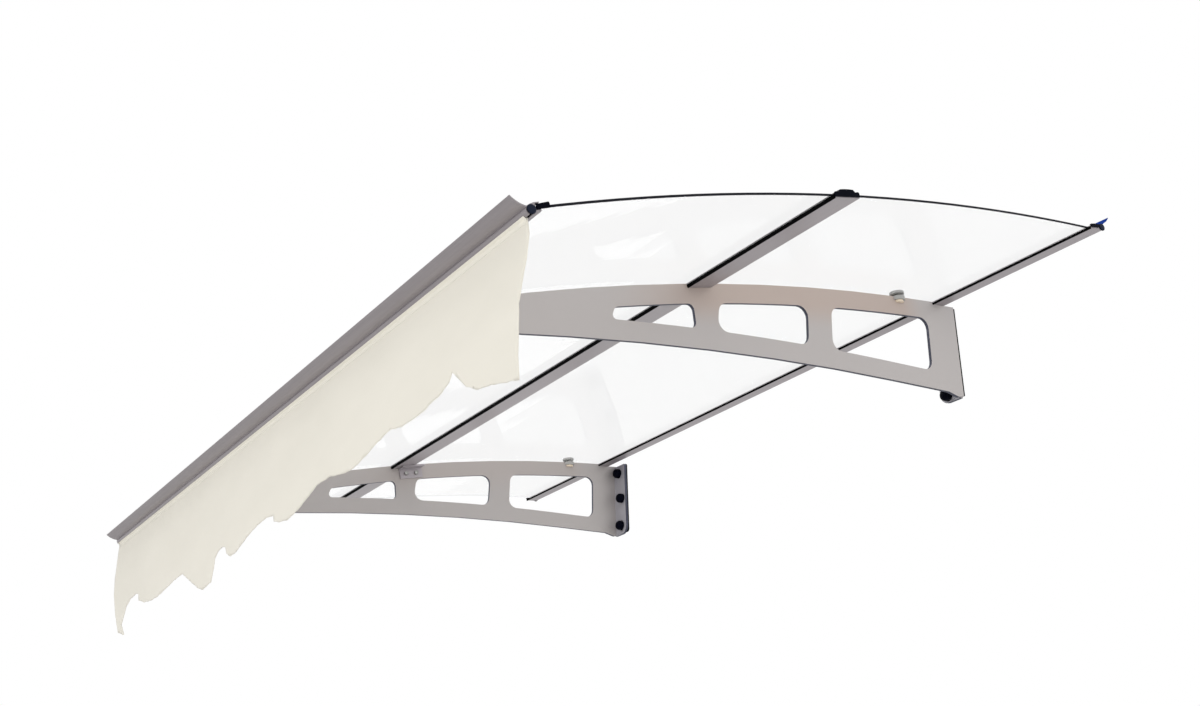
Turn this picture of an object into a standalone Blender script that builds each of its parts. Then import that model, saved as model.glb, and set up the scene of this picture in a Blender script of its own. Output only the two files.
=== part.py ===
"""Door awning: two cut-out aluminium brackets, three cross bars, a clear arched roof and a cloth valance.

Metres, +Z up. The wall face is the plane Y = 0 and the awning reaches out towards -Y. The origin lies on
the wall face, midway between the brackets, at the height of their top edge. "Near" is +X, "far" is -X.
A roof section is drawn with u running down the roof away from the wall and v square to it, v = 0 being
the underside of the panels. "Reach" is the distance from the back edge of the brackets.
"""

import math

import bmesh
import bpy
from mathutils import Matrix, Vector
from mathutils.geometry import tessellate_polygon

# Overall sizes
CANOPY_WIDTH = 1.500
PANEL_FRONT_REACH = 0.866
ROOF_RADIUS = 3.089
ROOF_SINE_AT_WALL = 0.0543
ROOF_HEIGHT_AT_WALL = 0.0043
NEAR_BRACKET_X = 0.4595
FAR_BRACKET_X = -0.4630

# Clearances
GAP = 0.0003
FIT = 0.0006
HOLE_CLEARANCE = 0.0003

# Clear roof panels
PANEL_THICKNESS = 0.003
PANEL_END_INSET = 0.009
PANEL_STEPS = 12

# Middle bar, an H section
MID_REACH = 0.461
MID_HALF_WIDTH = 0.0178
MID_REAR_EDGE = 0.0195
MID_TOP_HALF_WIDTH = 0.0112
MID_FLOOR = 0.0020
MID_WEB = 0.0025
MID_TOP_EDGE = 0.0006
MID_CROWN = 0.0006
MID_CAP_VALLEY = 0.0130
MID_CAP_LOBE = 0.0014
MID_GASKET = 0.0028
MID_GASKET_WIDTH = 0.0075
GASKET_LIP = 0.0015
GASKET_LIP_SLOPE = 0.0015

# Rear bar
REAR_REACH = 0.0285
REAR_FLOOR = 0.0015
REAR_MOUTH = 0.0110
REAR_JAW = 0.0010
REAR_JAW_REACH = 0.0035
REAR_GASKET = 0.0012
REAR_GASKET_WIDTH = 0.0055
REAR_BACK_WALL = 0.0012
REAR_BEAD_U = -0.0098
REAR_BEAD_BORE = 0.0027
LIP_GROOVE_WIDTH = 0.0024
LIP_GROOVE_DEPTH = 0.0022

# Seal lip between the rear bar and the wall
LIP_RISE = 0.0222
LIP_WALL_GAP = 0.0045
LIP_FOOT_FRONT = 0.0022
LIP_FOOT_BACK = 0.0070
LIP_BELLY = ((0.0099, 0.0010), (0.0192, 0.0069))
LIP_FOOT_THICKNESS = 0.0010
LIP_TIP_THICKNESS = 0.0010

# Front bar: gutter lip, cloth channel and panel jaws
JAW_DEPTH = 0.0045
FRONT_CAP_DEPTH = 0.0145
FRONT_FLOOR = 0.0018
FRONT_GASKET = 0.0034
FRONT_GASKET_WIDTH = 0.0042
FRONT_JAW = 0.0010
PANEL_END_GAP = 0.0010
CHANNEL_RADIUS = 0.0059
CHANNEL_BORE = 0.0043
CHANNEL_SLOT = 0.0030
CHANNEL_U = 0.0072
CHANNEL_V = -0.00275
GUTTER_REACH = 0.0238
GUTTER_RISE = 0.0101
GUTTER_FLOOR_OUT = 0.0048
GUTTER_FLOOR_UP = 0.0030
GUTTER_WALL = 0.0014

# Brackets
PLATE = 0.0050
BRACKET_HEIGHT = 0.1383
BRACKET_LOWER_RADIUS = 4.250
BRACKET_LOWER_START = 0.145
WEB = 0.0270
FOOT_FLARE_REACH = 0.0290
FOOT_FLARE_DROP = 0.0050
FOOT_CUT_REACH = 0.0100
FOOT_CUT_RISE = 0.0020
NOSE_GAP = 0.0015
NOSE_CORNER = 0.0100
SEAT_SIDE = 0.0006
EDGE_STEP = 0.075
FLANGE = 0.0050
FLANGE_WIDTH = 0.0360
FLANGE_TOP = -0.0020
FLANGE_BOTTOM = -0.1390
FLANGE_CORNER = 0.0150
WINDOW_REAR = (0.0565, 0.241, 0.0, 0.0)
WINDOW_MIDDLE = (0.283, 0.435, 0.0, 0.0)
WINDOW_FRONT = (0.4725, 0.598, 0.0045, 0.0)
WINDOW_CORNER = 0.0150
WINDOW_FRONT_CORNER = 0.0085

# Wall fixings
WALL_GASKET = 0.0020
WALL_GASKET_SHORT = 0.0030
BOLT_INSETS = (0.0165, 0.0250, 0.0205)
BOLT_HEIGHTS = (-0.0180, -0.0695, -0.1225)
NEAR_LOW_BOLT_DROP = 0.0060
BOLT_SLOT_HALF = 0.0065
BOLT_RADIUS = 0.0040
BOLT_FLANGE_RADIUS = 0.0074
BOLT_FLANGE = 0.0018
BOLT_HEAD_SHARE = 0.82
BOLT_HEAD = 0.0062
CAP_WALL = 0.0010
CAP_DOME = 0.0038

# Roof hold-downs
HOLD_REACH = 0.1080
KNOB_RADIUS = 0.0106
KNOB_HEIGHT = 0.0036
KNOB_BEVEL = 0.0009
KNOB_WASHER = 0.0006
KNOB_WASHER_RADIUS = 0.0102
HOLD_SCREW_RADIUS = 0.0015
HOLD_SCREW_IN_PLATE = 0.0120
HOLD_SCREW_IN_KNOB = 0.0024
COLLAR_RADIUS = 0.0104
COLLAR_BORE = 0.0066
COLLAR_HEIGHT = 0.0054
PAD_RADIUS = 0.0079
PAD_HEIGHT = 0.0087
PAD_BRIDGE = 0.0012

# Cleats and their screws
CLEAT_LEG = 0.0200
CLEAT_THICKNESS = 0.0025
MID_CLEAT_LENGTH = 0.0440
MID_CLEAT_SHIFT = -0.0160
FRONT_CLEAT_LENGTH = 0.0115
FRONT_CLEAT_BACK = 0.0015
CLEAT_SCREW_RADIUS = 0.0020
CLEAT_HEAD_RADIUS = 0.0036
CLEAT_HEAD = 0.0020
CLEAT_SCREW_IN_PLATE = 0.0035
CLEAT_SCREW_PITCH = 0.0200

# Bar ends
END_CAP = 0.0016
END_CAP_BEVEL = 0.0004
CAP_MARGIN = 0.0008
REAR_PLUG_RADIUS = 0.0049
CHANNEL_KNOB_RADIUS = 0.0052
CHANNEL_KNOB = 0.0018

# Valance cloth. The hem's points are shares of the cloth's half width and drops below the channel,
# from the right end to the left end.
ROD_RADIUS = 0.0036
CLOTH = 0.0012
VALANCE_END_GAP = 0.0020
VALANCE_NEAR_SHORT = 0.0060
HEM = (
    (0.9973, 0.023), (0.9907, 0.045), (0.9786, 0.067), (0.9679, 0.089), (0.9653, 0.138),
    (0.9679, 0.166), (0.9171, 0.158), (0.8503, 0.148), (0.8222, 0.139), (0.7888, 0.119),
    (0.7768, 0.112), (0.7674, 0.121), (0.7460, 0.126), (0.6752, 0.135), (0.6110, 0.135),
    (0.5709, 0.130), (0.5241, 0.135), (0.4452, 0.147), (0.4064, 0.148), (0.3436, 0.139),
    (0.2834, 0.138), (0.1952, 0.155), (0.1484, 0.159), (0.1043, 0.155), (0.0816, 0.150),
    (0.0776, 0.142), (0.0401, 0.137), (-0.0053, 0.140), (-0.0601, 0.148), (-0.1123, 0.159),
    (-0.1470, 0.161), (-0.1711, 0.153), (-0.1805, 0.143), (-0.1978, 0.139), (-0.2259, 0.140),
    (-0.2460, 0.149), (-0.2500, 0.160), (-0.2620, 0.180), (-0.3128, 0.184), (-0.3422, 0.178),
    (-0.3890, 0.162), (-0.4612, 0.139), (-0.5187, 0.141), (-0.6337, 0.151), (-0.6978, 0.149),
    (-0.7420, 0.145), (-0.7821, 0.136), (-0.7874, 0.125), (-0.8048, 0.121), (-0.8569, 0.124),
    (-0.8877, 0.132), (-0.9211, 0.159), (-0.8863, 0.181), (-0.9438, 0.170), (-0.9652, 0.153),
    (-0.9866, 0.131), (-1.0133, 0.095), (-1.0174, 0.067), (-1.0080, 0.023),
)

HALF_WIDTH = CANOPY_WIDTH / 2
PLATE_BACK = WALL_GASKET + GAP
FLANGE_FRONT = PLATE_BACK + FLANGE
MID_DEPTH = MID_GASKET + MID_FLOOR + 2 * GAP
REAR_DEPTH = REAR_GASKET + REAR_FLOOR + 2 * GAP
REAR_TOP = PANEL_THICKNESS + GAP + REAR_JAW
REAR_BEAD_RADIUS = (REAR_TOP + REAR_DEPTH) / 2
REAR_BEAD_V = (REAR_TOP - REAR_DEPTH) / 2
FRONT_DEPTH = FRONT_GASKET + FRONT_FLOOR + 2 * GAP
SLOT_TOP = PANEL_THICKNESS + GAP
SEAT_DROP_MID = MID_DEPTH + GAP
SEAT_DROP_REAR = REAR_DEPTH + GAP
SEAT_DROP_FRONT = FRONT_DEPTH + GAP
SEAT_DROP_PAD = PAD_BRIDGE + 2 * GAP
SIDES = {"near": 1, "far": -1}
PLACES = {"near": NEAR_BRACKET_X, "far": FAR_BRACKET_X}


def clear_scene():
    for obj in list(bpy.data.objects):
        bpy.data.objects.remove(obj, do_unlink=True)


def material(name, color, roughness, metallic=0.0, alpha=1.0):
    made = bpy.data.materials.new(name)
    made.use_nodes = True
    shader = made.node_tree.nodes["Principled BSDF"]
    shader.inputs["Base Color"].default_value = (*color, 1.0)
    shader.inputs["Roughness"].default_value = roughness
    shader.inputs["Metallic"].default_value = metallic
    shader.inputs["Alpha"].default_value = alpha
    return made


def roof_angle(reach):
    return math.asin(ROOF_SINE_AT_WALL + reach / ROOF_RADIUS)


def roof_point(reach, lift=0.0):
    """(y, z) of the roof arc at this reach, lifted square to it. Lift 0 is the top edge of the brackets."""
    angle = roof_angle(reach)
    drop = ROOF_RADIUS * (math.cos(roof_angle(0.0)) - math.cos(angle))
    return (
        -PLATE_BACK - reach - lift * math.sin(angle),
        ROOF_HEIGHT_AT_WALL - drop + lift * math.cos(angle),
    )


def roof_frame(reach, x=0.0):
    """Columns u, v, x: section coordinates on the roof to the world. v = 0 is the panels' underside."""
    angle = roof_angle(reach)
    y, z = roof_point(reach, GAP)
    down = Vector((0, -math.cos(angle), -math.sin(angle)))
    up = Vector((0, -math.sin(angle), math.cos(angle)))
    return frame_of(Vector((x, y, z)), down, up, Vector((1, 0, 0)))


def frame_of(origin, first, second, third):
    rows = [(first[i], second[i], third[i], origin[i]) for i in range(3)]
    return Matrix((*rows, (0, 0, 0, 1)))


def yz_frame(x=0.0):
    return frame_of(Vector((x, 0, 0)), Vector((0, 1, 0)), Vector((0, 0, 1)), Vector((1, 0, 0)))


def xz_frame(y=0.0):
    return frame_of(Vector((0, y, 0)), Vector((1, 0, 0)), Vector((0, 0, 1)), Vector((0, -1, 0)))


def to_section(frame, point):
    """The (u, v) of a (y, z) world point in a roof frame."""
    local = frame.inverted() @ Vector((0, point[0], point[1]))
    return local.x, local.y


def from_section(frame, u, v):
    world = frame @ Vector((u, v, 0))
    return world.y, world.z


def add_object(name, mesh, look):
    mesh.materials.append(look)
    obj = bpy.data.objects.new(name, mesh)
    bpy.context.scene.collection.objects.link(obj)
    return obj


def prism(name, outline, start, end, frame, look, holes=()):
    """A closed solid: the outline less its holes, in the frame's first two axes, run along the third."""
    loops = [list(outline), *[list(hole) for hole in holes]]
    flat = [Vector((a, b, 0)) for loop in loops for a, b in loop]
    triangles = tessellate_polygon([[Vector((a, b, 0)) for a, b in loop] for loop in loops])
    shape = bmesh.new()
    ends = []
    for distance in (start, end):
        ends.append([shape.verts.new(frame @ Vector((p.x, p.y, distance))) for p in flat])
    for verts in ends:
        for corners in triangles:
            shape.faces.new([verts[i] for i in corners])
    first = 0
    for loop in loops:
        for i in range(len(loop)):
            a = first + i
            b = first + (i + 1) % len(loop)
            shape.faces.new((ends[0][a], ends[0][b], ends[1][b], ends[1][a]))
        first += len(loop)
    return finish_mesh(name, shape, look)


def turned(name, profile, frame, look, sides=20, closed=False, hexagon=()):
    """Turns (radius, height) points about the frame's third axis. Points in hexagon make a hex ring."""
    shape = bmesh.new()
    rings = []
    for index, (radius, height) in enumerate(profile):
        if radius == 0:
            rings.append([shape.verts.new(frame @ Vector((0, 0, height)))])
            continue
        ring = []
        for side in range(sides):
            angle = 2 * math.pi * side / sides
            reach = radius
            if index in hexagon:
                reach = radius / math.cos((angle + math.pi / 6) % (math.pi / 3) - math.pi / 6)
            local = Vector((reach * math.cos(angle), reach * math.sin(angle), height))
            ring.append(shape.verts.new(frame @ local))
        rings.append(ring)
    pairs = list(zip(rings, rings[1:] + rings[:1] if closed else rings[1:]))
    for low, high in pairs:
        for side in range(sides):
            after = (side + 1) % sides
            corners = [low[side % len(low)], low[after % len(low)]]
            corners += [high[after % len(high)], high[side % len(high)]]
            shape.faces.new(list(dict.fromkeys(corners)))
    return finish_mesh(name, shape, look, smooth=True)


def finish_mesh(name, shape, look, smooth=False):
    bmesh.ops.recalc_face_normals(shape, faces=shape.faces)
    mesh = bpy.data.meshes.new(name)
    shape.to_mesh(mesh)
    shape.free()
    if smooth:
        mesh.shade_smooth()
        mesh.set_sharp_from_angle(angle=math.radians(35))
    return add_object(name, mesh, look)


def combine(target, other, operation):
    """Adds a Boolean to the target. The other object is a hidden helper."""
    other.hide_render = True
    other.display_type = "WIRE"
    step = target.modifiers.new(operation.title(), "BOOLEAN")
    step.operation = operation
    step.solver = "EXACT"
    step.object = other


def drill(target, frame, radius, start, end, look, sides=16):
    """Cuts a round hole in the target along the frame's third axis."""
    profile = [(0, start), (radius, start), (radius, end), (0, end)]
    combine(target, turned(f"{target.name}.drill", profile, frame, look, sides), "DIFFERENCE")


def arc_points(centre, radius, start, end, steps):
    """Points on an arc between two angles in degrees, both ends included."""
    made = []
    for i in range(steps + 1):
        angle = math.radians(start + (end - start) * i / steps)
        made.append((centre[0] + radius * math.cos(angle), centre[1] + radius * math.sin(angle)))
    return made


def rounded(points, radii, steps=5):
    """Rounds each corner of a closed outline that has a radius over zero."""
    made = []
    count = len(points)
    for i, corner in enumerate(points):
        if radii[i] <= 0:
            made.append(corner)
            continue
        here = Vector(corner)
        before = (Vector(points[i - 1]) - here).normalized()
        after = (Vector(points[(i + 1) % count]) - here).normalized()
        half = before.angle(after) / 2
        run = min(radii[i] / math.tan(half), 0.48 * (Vector(points[i - 1]) - here).length)
        run = min(run, 0.48 * (Vector(points[(i + 1) % count]) - here).length)
        centre = here + (before + after).normalized() * (run / math.cos(half))
        first = here + before * run - centre
        last = here + after * run - centre
        turn = first.angle_signed(last)
        for step in range(steps + 1):
            swing = Matrix.Rotation(-turn * step / steps, 2)
            made.append(tuple(centre + swing @ first))
    return made


def lower_edge(reach):
    """Height of the brackets' lower edge: level near the wall, then an arc up and out."""
    past = max(reach - BRACKET_LOWER_START, 0.0)
    sag = BRACKET_LOWER_RADIUS - math.sqrt(BRACKET_LOWER_RADIUS**2 - past**2)
    return ROOF_HEIGHT_AT_WALL - BRACKET_HEIGHT - sag


def window(rear, front, rear_lean, front_lean, radius):
    """A cut-out between two struts. Its top and bottom keep an even web to the bracket's edges."""
    steps = 4
    top = [rear + rear_lean + (front - front_lean - rear - rear_lean) * i / steps for i in range(steps + 1)]
    low = [front + (rear - rear_lean - front) * i / steps for i in range(steps + 1)]
    points = [roof_point(reach, -WEB) for reach in top]
    points += [(-PLATE_BACK - reach, lower_edge(reach) + WEB) for reach in low]
    radii = [radius if i in (0, steps, steps + 1, 2 * steps + 1) else 0 for i in range(len(points))]
    return rounded(points, radii)


def seat(centre, before, after, drop):
    """Two corners each side of a flat seat cut into the brackets' top edge, in (y, z)."""
    frame = roof_frame(centre)
    return [from_section(frame, before, -drop), from_section(frame, after, -drop)]


def bracket_outline():
    mid_front = MID_HALF_WIDTH + GASKET_LIP + GAP + SEAT_SIDE
    mid_rear = MID_REAR_EDGE + SEAT_SIDE
    rear_front = REAR_MOUTH + GASKET_LIP + GAP + SEAT_SIDE
    front_start = PANEL_FRONT_REACH - JAW_DEPTH - SEAT_SIDE - GAP
    nose = PANEL_FRONT_REACH + PANEL_END_GAP - NOSE_GAP
    rear_seat = seat(REAR_REACH, -REAR_REACH, rear_front, SEAT_DROP_REAR)
    points = [(-PLATE_BACK, rear_seat[0][1]), rear_seat[1]]
    pad_half = COLLAR_RADIUS + SEAT_SIDE
    pad_seat = seat(HOLD_REACH, -pad_half, pad_half, SEAT_DROP_PAD)
    mid_seat = seat(MID_REACH, -mid_rear, mid_front, SEAT_DROP_MID)
    runs = [
        (REAR_REACH + rear_front, HOLD_REACH - pad_half, pad_seat),
        (HOLD_REACH + pad_half, MID_REACH - mid_rear, mid_seat),
        (MID_REACH + mid_front, front_start, []),
    ]
    for start, end, notch in runs:
        steps = max(1, round((end - start) / EDGE_STEP))
        points += [roof_point(start + (end - start) * i / steps) for i in range(steps + 1)]
        points += notch
    front = roof_frame(PANEL_FRONT_REACH)
    points.append(from_section(front, front_start - PANEL_FRONT_REACH, -SEAT_DROP_FRONT))
    points.append(from_section(front, nose - PANEL_FRONT_REACH, -SEAT_DROP_FRONT))
    nose_low = (-PLATE_BACK - nose, lower_edge(nose))
    steps = 8
    lower = [nose + (FOOT_FLARE_REACH - nose) * i / steps for i in range(1, steps + 1)]
    tail = [(-PLATE_BACK - reach, lower_edge(reach)) for reach in lower]
    low = lower_edge(0.0) - FOOT_FLARE_DROP
    foot = [(-PLATE_BACK - FOOT_CUT_REACH, low), (-PLATE_BACK, low + FOOT_CUT_RISE)]
    points += [nose_low, *tail, *foot]
    radii = [NOSE_CORNER if point == nose_low else 0 for point in points]
    return rounded(points, radii)


def bolt_heights(side):
    low = BOLT_HEIGHTS[-1] - (NEAR_LOW_BOLT_DROP if side == "near" else 0.0)
    return (*BOLT_HEIGHTS[:-1], low)


def bracket(side, look):
    """One plate with three windows, and its wall flange turned inwards."""
    sign = SIDES[side]
    middle = PLACES[side]
    windows = [
        window(*WINDOW_REAR, WINDOW_CORNER),
        window(*WINDOW_MIDDLE, WINDOW_CORNER),
        window(*WINDOW_FRONT, WINDOW_FRONT_CORNER),
    ]
    faces = (middle - PLATE / 2, middle + PLATE / 2)
    plate = prism(f"bracket_{side}", bracket_outline(), *faces, yz_frame(), look, windows)
    inner = middle - sign * PLATE / 2
    buried = middle
    tip = inner - sign * FLANGE_WIDTH
    foot = lower_edge(0.0) - FOOT_FLARE_DROP
    outline = [(buried, FLANGE_TOP), (tip, FLANGE_TOP), (tip, foot), (buried, foot)]
    outline = rounded(outline, [0, 0.002, FLANGE_CORNER, 0])
    holes = []
    for index, height in enumerate(BOLT_HEIGHTS):
        centre = (inner - sign * BOLT_INSETS[index], height)
        radius = BOLT_RADIUS + HOLE_CLEARANCE
        if index < len(BOLT_HEIGHTS) - 1:
            holes.append(arc_points(centre, radius, 0, 337.5, 15))
        else:
            top = (centre[0], height + BOLT_SLOT_HALF)
            low = (centre[0], height - BOLT_SLOT_HALF)
            holes.append(arc_points(top, radius, 0, 180, 6) + arc_points(low, radius, 180, 360, 6))
    flange = prism(f"bracket_{side}.flange", outline, PLATE_BACK, FLANGE_FRONT, xz_frame(), look, holes)
    combine(plate, flange, "UNION")
    return plate


def wall_gasket(side, look):
    sign = SIDES[side]
    inner = PLACES[side] - sign * PLATE / 2
    outer = PLACES[side] + sign * PLATE / 2
    tip = inner - sign * FLANGE_WIDTH
    foot = lower_edge(0.0) - FOOT_FLARE_DROP + WALL_GASKET_SHORT
    outline = [(outer, FLANGE_TOP + 0.001), (tip, FLANGE_TOP + 0.001), (tip, foot), (outer, foot)]
    outline = rounded(outline, [0, 0.004, 0.006, 0])
    holes = []
    for inset, height in zip(BOLT_INSETS, bolt_heights(side)):
        centre = (inner - sign * inset, height)
        holes.append(arc_points(centre, BOLT_RADIUS + HOLE_CLEARANCE, 0, 337.5, 15))
    return prism(f"wall_gasket_{side}", outline, 0.0, WALL_GASKET, xz_frame(), look, holes)


def wall_fixing(side, index, height, steel, rubber):
    """A flange-head bolt, its shank flush with the wall face, and the domed cap over its head."""
    sign = SIDES[side]
    x = PLACES[side] - sign * (PLATE / 2 + BOLT_INSETS[index - 1])
    frame = frame_of(Vector((x, 0, height)), Vector((1, 0, 0)), Vector((0, 0, 1)), Vector((0, -1, 0)))
    face = FLANGE_FRONT + GAP
    head = face + BOLT_FLANGE + BOLT_HEAD
    flats = BOLT_FLANGE_RADIUS * BOLT_HEAD_SHARE
    profile = [
        (0, 0.0), (BOLT_RADIUS, 0.0), (BOLT_RADIUS, face), (BOLT_FLANGE_RADIUS, face),
        (BOLT_FLANGE_RADIUS, face + BOLT_FLANGE), (flats, face + BOLT_FLANGE), (flats, head), (0, head),
    ]
    turned(f"wall_bolt_{side}_{index}", profile, frame, steel, 12, hexagon=(5, 6))
    inner = BOLT_FLANGE_RADIUS + FIT
    outer = inner + CAP_WALL
    inside = head + GAP
    shoulder = face + (head - face) * 0.75
    dome = []
    for step in range(5):
        angle = math.radians(90 * step / 4)
        dome.append((outer * math.cos(angle), shoulder + (inside + CAP_DOME - shoulder) * math.sin(angle)))
    dome[-1] = (0, inside + CAP_DOME)
    over_hex = flats / math.cos(math.pi / 6) + GAP
    cup = [(0, inside), (over_hex, inside), (inner, shoulder), (inner, face), (outer, face)]
    turned(f"bolt_cap_{side}_{index}", cup + dome, frame, rubber, 20)


def roof_panel(name, start, end, look):
    reaches = [start + (end - start) * i / PANEL_STEPS for i in range(PANEL_STEPS + 1)]
    outline = [roof_point(reach, GAP) for reach in reaches]
    outline += [roof_point(reach, GAP + PANEL_THICKNESS) for reach in reversed(reaches)]
    half = HALF_WIDTH - PANEL_END_INSET
    return prism(name, outline, -half, half, yz_frame(), look)


def mid_bar(look):
    """H section with a thin crowned top flange."""
    low = -MID_DEPTH
    floor = low + MID_FLOOR
    web = MID_WEB / 2
    wide = MID_HALF_WIDTH
    top = MID_TOP_HALF_WIDTH
    edge = SLOT_TOP + MID_TOP_EDGE
    rear = -MID_REAR_EDGE
    outline = [(rear, low), (wide, low), (wide, floor), (web, floor), (web, SLOT_TOP), (top, SLOT_TOP)]
    outline += [(top, edge)]
    outline += [(top * k, edge + MID_CROWN * (1 - k * k)) for k in (0.75, 0.5, 0.25, 0, -0.25, -0.5, -0.75)]
    outline += [(-top, edge), (-top, SLOT_TOP), (-web, SLOT_TOP), (-web, floor), (rear, floor)]
    return prism("mid_bar", outline, -HALF_WIDTH, HALF_WIDTH, roof_frame(MID_REACH), look)


def edge_gasket(name, reach, edge, width, thickness, depth, look):
    """A black strip under a panel, lying on a bar's floor and lapping over the floor's front edge."""
    outline = [
        (edge - width, -thickness - GAP), (edge + GAP, -thickness - GAP), (edge + GAP, -depth),
        (edge + GAP + GASKET_LIP, -depth), (edge + GAP + GASKET_LIP, -GAP - GASKET_LIP_SLOPE),
        (edge - GASKET_LIP, -GAP), (edge - width, -GAP),
    ]
    return prism(name, outline, -HALF_WIDTH, HALF_WIDTH, roof_frame(reach), look)


def rear_bar(look):
    """Floor and jaw that take the panel, a groove for the wall lip, and a round bead along the back."""
    low = -REAR_DEPTH
    floor = low + REAR_FLOOR
    jaw = REAR_TOP
    groove = -2 * REAR_BACK_WALL
    centre = (REAR_BEAD_U, REAR_BEAD_V)
    outline = [(REAR_MOUTH, low), (REAR_MOUTH, floor), (0, floor), (0, SLOT_TOP)]
    outline += [(REAR_JAW_REACH, SLOT_TOP), (REAR_JAW_REACH, jaw), (groove, jaw)]
    outline += [(groove, jaw - LIP_GROOVE_DEPTH)]
    outline += [(groove - LIP_GROOVE_WIDTH, jaw - LIP_GROOVE_DEPTH), (groove - LIP_GROOVE_WIDTH, jaw)]
    outline += arc_points(centre, REAR_BEAD_RADIUS, 90, 270, 10)
    bore = arc_points(centre, REAR_BEAD_BORE, 0, 330, 11)
    return prism("rear_bar", outline, -HALF_WIDTH, HALF_WIDTH, roof_frame(REAR_REACH), look, [bore])


def wall_lip(look):
    """A soft lip rooted in the rear bar's groove, thick at its foot and thin where it meets the wall."""
    frame = roof_frame(REAR_REACH)
    jaw = REAR_TOP
    groove = -2 * REAR_BACK_WALL
    middle = groove - LIP_GROOVE_WIDTH / 2
    root = LIP_GROOVE_WIDTH / 2 - GAP
    seat_v = jaw + GAP
    tip = to_section(frame, (-LIP_WALL_GAP, LIP_RISE))
    front = middle + LIP_FOOT_FRONT
    back = middle - LIP_FOOT_BACK
    outline = [
        (middle + root, jaw - LIP_GROOVE_DEPTH + GAP), (middle + root, seat_v), (front, seat_v),
        (front, seat_v + LIP_FOOT_THICKNESS), tip, (tip[0], tip[1] - LIP_TIP_THICKNESS),
    ]
    outline += [(middle - behind, seat_v + rise) for behind, rise in reversed(LIP_BELLY)]
    outline += [
        (back, seat_v), (middle - root, seat_v), (middle - root, jaw - LIP_GROOVE_DEPTH + GAP),
    ]
    return prism("wall_lip", outline, -HALF_WIDTH, HALF_WIDTH, frame, look)


def front_bar(look):
    """Gutter lip, round channel open below for the cloth, and two jaws that take the panel."""
    frame = roof_frame(PANEL_FRONT_REACH)
    low = -FRONT_DEPTH
    floor = low + FRONT_FLOOR
    jaw = SLOT_TOP + FRONT_JAW
    centre = from_section(frame, CHANNEL_U, CHANNEL_V)
    slot_out = math.degrees(math.asin(CHANNEL_SLOT / 2 / CHANNEL_RADIUS))
    slot_in = math.degrees(math.asin(CHANNEL_SLOT / 2 / CHANNEL_BORE))
    steps = 8
    rise = GUTTER_RISE - GUTTER_FLOOR_UP
    run = GUTTER_REACH - GUTTER_FLOOR_OUT
    upper = []
    lower = []
    for step in range(steps + 1):
        share = step / steps
        y = centre[0] - GUTTER_FLOOR_OUT - run * share
        z = centre[1] + GUTTER_FLOOR_UP + rise * share * share
        slope = math.atan2(2 * rise * share, run)
        upper.append((y, z))
        lower.append((y - GUTTER_WALL * math.sin(slope), z - GUTTER_WALL * math.cos(slope)))
    lower = [point for point in lower if math.dist(point, centre) > CHANNEL_RADIUS + FIT]
    joins = math.degrees(math.atan2(lower[0][1] - centre[1], lower[0][0] - centre[0])) % 360
    meets_u = CHANNEL_U - math.sqrt(CHANNEL_RADIUS**2 - (low - CHANNEL_V) ** 2)
    meets = from_section(frame, meets_u, low)
    meets_angle = math.degrees(math.atan2(meets[1] - centre[1], meets[0] - centre[0])) % 360
    outline = list(reversed(lower))
    outline += arc_points(centre, CHANNEL_RADIUS, joins, 270 - slot_out, 5)
    outline += arc_points(centre, CHANNEL_BORE, 270 - slot_in, slot_in - 90, 12)
    outline += arc_points(centre, CHANNEL_RADIUS, 270 + slot_out, meets_angle, 5)
    jaws = [
        (-JAW_DEPTH, low), (-JAW_DEPTH, floor), (PANEL_END_GAP, floor), (PANEL_END_GAP, SLOT_TOP),
        (-JAW_DEPTH, SLOT_TOP), (-JAW_DEPTH, jaw), (PANEL_END_GAP + FRONT_JAW, jaw),
        (CHANNEL_U, CHANNEL_V + CHANNEL_RADIUS),
    ]
    outline += [from_section(frame, u, v) for u, v in jaws]
    outline += upper
    return prism("front_bar", outline, -HALF_WIDTH, HALF_WIDTH, yz_frame(), look)


def flat_gasket(name, reach, start, width, thickness, look):
    """A black strip that lies on a bar's floor under a panel."""
    low = -GAP - thickness
    outline = [(start, low), (start + width, low), (start + width, -GAP), (start, -GAP)]
    return prism(name, outline, -HALF_WIDTH, HALF_WIDTH, roof_frame(reach), look)


def channel_centre():
    return from_section(roof_frame(PANEL_FRONT_REACH), CHANNEL_U, CHANNEL_V)


def channel_frame(x, sign=1):
    y, z = channel_centre()
    return frame_of(Vector((x, y, z)), Vector((0, sign, 0)), Vector((0, 0, 1)), Vector((sign, 0, 0)))


def valance(rod_look, cloth_look):
    """The rod that holds the cloth in its channel, and the hanging cloth with its ragged hem."""
    y, z = channel_centre()
    profile = [(0, -HALF_WIDTH), (ROD_RADIUS, -HALF_WIDTH), (ROD_RADIUS, HALF_WIDTH), (0, HALF_WIDTH)]
    turned("valance_rod", profile, channel_frame(0.0), rod_look, 12)
    top = z - ROD_RADIUS - GAP
    half = HALF_WIDTH - VALANCE_END_GAP
    outline = [(half - VALANCE_NEAR_SHORT, top)]
    outline += [(share * half, z - drop) for share, drop in HEM]
    outline.append((-half, top))
    middle = -y
    prism("valance", outline, middle - CLOTH / 2, middle + CLOTH / 2, xz_frame(), cloth_look)


def saddle_slot(piece, roof, look):
    """Slots a piece so that it straddles the bracket's plate, and leaves a thin bridge above its edge."""
    bridge = -GAP - PAD_BRIDGE
    slot = PLATE / 2 + GAP
    outline = [(-slot, -2 * PAD_HEIGHT), (slot, -2 * PAD_HEIGHT), (slot, bridge), (-slot, bridge)]
    across = roof @ Matrix(((0, 0, 1, 0), (0, 1, 0, 0), (1, 0, 0, 0), (0, 0, 0, 1)))
    reach = 2 * COLLAR_RADIUS
    cutter = prism(f"{piece.name}.slot", outline, -reach, reach, across, look)
    combine(piece, cutter, "DIFFERENCE")


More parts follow.
